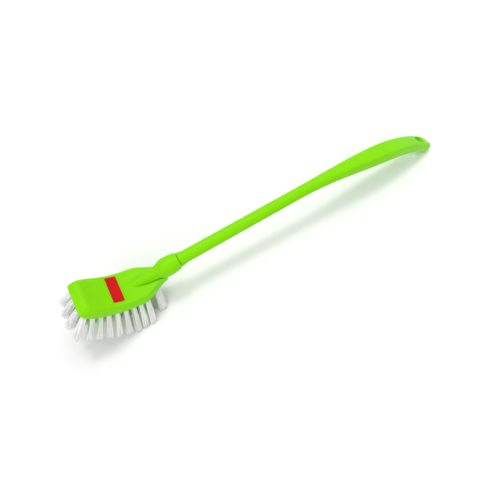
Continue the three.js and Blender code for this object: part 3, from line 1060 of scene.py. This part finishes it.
@dataclass
class BristleRow:
    """One row of tufts: bundles of fine filaments, fanned along the plate and splayed to the side."""

    place: RowPlace
    finish: bpy.types.Material
    pitch: float = 5.8
    outer_offset: float = 11.4
    outer_start: float = 6.0
    outer_tufts: int = 9
    outer_splay: float = 23.0
    inner_offset: float = 4.4
    inner_start: float = 5.0
    inner_tufts: int = 11
    inner_splay: float = 4.4
    tail_splay: float = 40.7
    tail_length: float = 27.5
    fan_front: float = 20.2
    fan_rear: float = -9.2
    front_depth: float = 21.0
    rear_depth: float = 39.8
    front_length: float = 20.0
    front_lean: float = 5.9
    front_gather: float = 1.04
    front_extra: float = 7.7
    plate_thickness: float = 9.5
    root_radius: float = 1.75
    outer_tip_along: float = 3.2
    inner_tip_along: float = 4.8
    outer_tip_across: float = 1.8
    inner_tip_across: float = 3.0
    front_tip_across: float = 4.0
    strands: int = 140
    strand_radius: float = 0.22
    strand_sides: int = 5
    stations: tuple[float, ...] = (0.0, 0.25, 0.5, 0.75, 0.93, 1.0)
    tip_narrowing: float = 0.55
    turn_jitter: float = 0.3
    # Reach of the painted green bounce light along open strands and, as painted green shade, along hidden
    # ones.
    open_bounce_reach: float = 0.1
    hidden_bounce_reach: float = 1.4
    hidden_depth: float = 0.35
    buried: float = 2.6
    waver: float = 0.25
    uneven: float = 0.012

    def tufts(self) -> list[tuple[Array, Array, Array, Array]]:
        """Gives each tuft's root, its reach to its tips, and the plate's directions there.

        Returns:
            For each tuft its root, its reach, the direction back along the plate and the one outwards.
        """
        outer = self.place.outer
        offset = self.outer_offset if outer else self.inner_offset
        start = self.outer_start if outer else self.inner_start
        count = self.outer_tufts if outer else self.inner_tufts
        own_splay = self.outer_splay if outer else self.inner_splay
        outward = np.array([0.0, self.place.side, 0.0])
        found = []
        for number in range(count):
            p = start + number * self.pitch
            share = p / PLATE.length
            back, up = PLATE.axes(np.array(p))
            front = max(1.0 - p / self.front_length, 0.0) ** 2
            fan = self.fan_front + (self.fan_rear - self.fan_front) * share - self.front_lean * front
            tail = float(ease((p - PLATE.length + self.tail_length) / self.tail_length))
            splay = own_splay * (1.0 - self.front_gather * front) + (self.tail_splay - own_splay) * tail
            reach = -up + math.tan(math.radians(fan)) * back + math.tan(math.radians(splay)) * outward
            depth = self.front_depth + (self.rear_depth - self.front_depth) * share
            depth = depth + self.front_extra * front
            root = PLATE.point(p, offset * self.place.side, -self.plate_thickness)
            found.append((root, depth * reach, back, outward))
        return found

    def _strand_paths(self, draw: np.random.Generator) -> tuple[Array, Array, Array]:
        """Lays the centre line of every filament.

        Args:
            draw: Source of the filaments' small differences.

        Returns:
            Points along each filament, the share of its length at each of them, and how far the painted
            green bounce light reaches along each filament: further, as painted green shade, on those that
            the outer ones hide.
        """
        share = np.array(self.stations)
        paths = []
        green = []
        tufts = self.tufts()
        for place, (root, reach, back, outward) in enumerate(tufts):
            number = np.arange(self.strands)
            turn = number * GOLDEN_ANGLE + draw.uniform(-self.turn_jitter, self.turn_jitter, self.strands)
            spread = np.sqrt((number + 0.5) / self.strands)
            along, across = spread * np.cos(turn), spread * np.sin(turn)
            length = 1.0 + draw.normal(0.0, self.uneven, self.strands)
            foot = root + self.root_radius * (along[:, None] * back + across[:, None] * outward)
            tip_along = self.outer_tip_along if self.place.outer else self.inner_tip_along
            tip_across = self.outer_tip_across if self.place.outer else self.inner_tip_across
            tip_across = tip_across if place else self.front_tip_across
            tip = root + length[:, None] * reach + draw.normal(0.0, self.waver, (self.strands, 3))
            tip = tip + (tip_along * along)[:, None] * back + (tip_across * across)[:, None] * outward
            foot = foot - (self.buried / np.linalg.norm(reach)) * reach
            high, low = POSE.world(foot)[:, 2], POSE.world(tip)[:, 2]
            kept = np.where(low < 0.0, high / np.maximum(high - low, TINY), 1.0)
            tip = foot + kept[:, None] * (tip - foot)
            bow = draw.normal(0.0, self.waver, (self.strands, 3))
            line = foot[:, None, :] + share[None, :, None] * (tip - foot)[:, None, :]
            arc = (share * (1.0 - share) * 4.0)[None, :, None]
            paths.append(line + arc * bow[:, None, :])
            # Strands that the outer tufts hide get the painted green shade far along their length.
            hidden = (across < self.hidden_depth) | (not self.place.outer)
            hidden = hidden & (0 < place < len(tufts) - 1)
            green.append(np.where(hidden, self.hidden_bounce_reach, self.open_bounce_reach))
        return np.concatenate(paths), share, np.concatenate(green)

    def build(self, seed: int) -> bpy.types.Object:
        """Makes the row's filaments as thin closed tubes that narrow at their tips.

        Args:
            seed: Seed of the filaments' small differences.

        Returns:
            The row.
        """
        draw = np.random.default_rng(seed)
        paths, share, green = self._strand_paths(draw)
        along = paths[:, -1] - paths[:, 0]
        along = along / np.linalg.norm(along, axis=-1)[:, None]
        first = np.cross(along, np.array([1.0, 0.0, 0.0]))
        first = first / np.linalg.norm(first, axis=-1)[:, None]
        second = np.cross(along, first)
        turn = 2.0 * math.pi * np.arange(self.strand_sides) / self.strand_sides
        ring = np.cos(turn)[None, :, None] * first[:, None, :]
        ring = ring + np.sin(turn)[None, :, None] * second[:, None, :]
        radius = self.strand_radius * np.where(share < 1.0, 1.0, self.tip_narrowing)
        tubes = paths[:, :, None, :] + radius[None, :, None, None] * ring[:, None, :, :]
        count, steps, sides = tubes.shape[:3]
        points = POSE.world(tubes.reshape(-1, 3))
        points[:, 2] = np.maximum(points[:, 2], 0.0)
        number = np.arange(count * steps * sides).reshape(count, steps, sides)
        after = np.roll(number, -1, axis=2)
        walls = np.stack([number[:, :-1], after[:, :-1], after[:, 1:], number[:, 1:]], axis=-1)
        faces = walls.reshape(-1, 4).tolist() + number[:, -1].tolist() + number[:, 0, ::-1].tolist()
        piece = mesh_object(self.place.node.replace("row", "tufts"), points, np.array(faces, dtype=object))
        shade = np.repeat(draw.uniform(0.0, 1.0, count), steps * sides)
        point_values(piece, "strand_shade", shade)
        # Painted green bounce light near the plate, fading towards the tips.
        painted_bounce_share = 1.0 - ease(share[None, :] / green[:, None])
        point_values(piece, "painted_bounce_share", np.repeat(painted_bounce_share.ravel(), sides))
        return piece

    def dress(self, piece: bpy.types.Object) -> None:
        """Gives the row its finish and its place in the frame.

        Args:
            piece: The row.
        """
        piece.data.materials.append(self.finish)
        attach(piece, "root")
        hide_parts(self.place.node)


@dataclass
class TuftAnchors:
    """Flat wires that hold the tufts inside the plate. Their solids stay, and get a steel finish."""

    finish: DrawnWire
    prefix: str = "tuft_anchor_"

    def dress(self) -> int:
        """Gives every anchor its finish.

        Returns:
            How many anchors there are.
        """
        material = self.finish.build()
        anchors = [node for name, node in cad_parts.items() if name.startswith(self.prefix)]
        for node in anchors:
            node.data.materials.clear()
            node.data.materials.append(material)
        return len(anchors)


@dataclass(frozen=True)
class Lamp:
    """Square soft lamp that points at the middle of the brush."""

    name: str
    place: Triple
    size: float
    power: float

    def build(self) -> None:
        """Hangs the lamp up."""
        data = bpy.data.lights.new(self.name, "AREA")
        data.size = self.size
        data.energy = self.power
        lamp = bpy.data.objects.new(self.name, data)
        lamp.location = self.place
        lamp.rotation_mode = "QUATERNION"
        lamp.rotation_quaternion = (-Vector(self.place)).to_track_quat("-Z", "Y")
        bpy.context.scene.collection.objects.link(lamp)


@dataclass
class Studio:
    """White floor, soft light from above, behind and the front, and the camera of the photograph."""

    floor_size: float = 8.0
    floor_colour: Triple = (0.95, 0.95, 0.95)
    floor_glow: float = 0.04
    far_glow: float = 0.5
    lit_reach: tuple[float, float] = (0.5, 1.6)
    ambient: float = 0.5
    lamps: tuple[Lamp, ...] = (
        Lamp("overhead", (0.35, 0.3, 1.15), 1.0, 5.0),
        Lamp("key", (-0.10, 0.38, 1.5), 0.30, 5.2),
        Lamp("front", (-0.9, -0.8, 0.8), 1.0, 5.4),
    )
    image_width: float = 480.0
    focal_pixels: float = 350.0
    sensor_width: float = 36.0
    clip_start: float = 0.01
    camera_place: Triple = (-0.137873, -0.141273, 0.319312)
    camera_elevation: float = math.radians(61.392)
    camera_azimuth: float = math.radians(-31.683)

    def build_camera(self) -> None:
        """Places the camera at the photograph's viewing angle."""
        data = bpy.data.cameras.new("camera")
        data.sensor_width = self.sensor_width
        data.lens = self.sensor_width * self.focal_pixels / self.image_width
        data.clip_start = self.clip_start
        camera = bpy.data.objects.new("camera", data)
        level = math.cos(self.camera_elevation)
        view = Vector((
            -math.sin(self.camera_azimuth) * level,
            math.cos(self.camera_azimuth) * level,
            -math.sin(self.camera_elevation),
        ))
        camera.location = self.camera_place
        camera.rotation_mode = "QUATERNION"
        camera.rotation_quaternion = view.to_track_quat("-Z", "Y")
        bpy.context.scene.collection.objects.link(camera)
        bpy.context.scene.camera = camera

    def build_floor(self) -> None:
        """Lays the floor, which the camera sees as white also where the lamps don't reach."""
        half = self.floor_size / 2.0
        points = np.array([[-half, -half, 0.0], [half, -half, 0.0], [half, half, 0.0], [-half, half, 0.0]])
        floor = mesh_object("floor", points, np.array([[0, 1, 2, 3]]))
        sheet = NodeSheet("floor_paper")
        sheet.set(Base_Color=(*self.floor_colour, 1.0), Roughness=0.9, Specular_IOR_Level=0.1)
        sheet.set(Emission_Color=(1.0, 1.0, 1.0, 1.0))
        away = sheet.add("ShaderNodeVectorMath", operation="LENGTH")
        sheet.join(sheet.place(), away.inputs[0])
        level = sheet.spread(away.outputs["Value"], self.floor_glow, self.far_glow, self.lit_reach)
        path = sheet.add("ShaderNodeLightPath")
        glow = sheet.add("ShaderNodeMath", operation="MULTIPLY")
        sheet.join(level, glow.inputs[0])
        sheet.join(path.outputs["Is Camera Ray"], glow.inputs[1])
        sheet.join(glow.outputs[0], sheet.shader.inputs["Emission Strength"])
        floor.data.materials.append(sheet.material)

    def build_light(self) -> None:
        """Sets the even light of the room and hangs up the lamps."""
        world = bpy.data.worlds.new("studio")
        world.use_nodes = True
        tree = world.node_tree
        backdrop = tree.nodes["Background"]
        backdrop.inputs["Color"].default_value = (1.0, 1.0, 1.0, 1.0)
        path = tree.nodes.new("ShaderNodeLightPath")
        seen = path.outputs["Is Camera Ray"]
        for ray in ("Is Glossy Ray", "Is Transmission Ray"):
            either = tree.nodes.new("ShaderNodeMath")
            either.operation = "MAXIMUM"
            tree.links.new(seen, either.inputs[0])
            tree.links.new(path.outputs[ray], either.inputs[1])
            seen = either.outputs[0]
        level = tree.nodes.new("ShaderNodeMapRange")
        level.inputs["To Min"].default_value = self.ambient
        level.inputs["To Max"].default_value = 1.0
        tree.links.new(seen, level.inputs["Value"])
        tree.links.new(level.outputs["Result"], backdrop.inputs["Strength"])
        bpy.context.scene.world = world
        for lamp in self.lamps:
            lamp.build()
        bpy.context.scene.view_settings.view_transform = "Standard"


def main() -> None:
    """Builds and dresses every piece of the brush, then the studio round it."""
    logging.basicConfig(level=logging.INFO, format="%(name)s: %(message)s")
    plastic = MouldedPlastic()
    filament = Filament().build()
    studio = Studio()
    studio.build_camera()
    rows = [BristleRow(place, filament) for place in RowPlace]
    head = HeadBlock(plastic)
    for row in rows:
        head.tuft_roots.extend((root, reach / np.linalg.norm(reach)) for root, reach, _, _ in row.tufts())
    for assembly in (head, Handle(plastic), Label(LabelFilm())):
        piece = assembly.build()
        assembly.dress(piece)
        LOG.info("%s: %d faces", piece.name, len(piece.data.polygons))
    for seed, row in enumerate(rows):
        piece = row.build(seed)
        row.dress(piece)
        LOG.info("%s: %d faces", piece.name, len(piece.data.polygons))
    LOG.info("tuft anchors: %d", TuftAnchors(DrawnWire()).dress())
    studio.build_floor()
    studio.build_light()


if __name__ == "__main__":
    main()
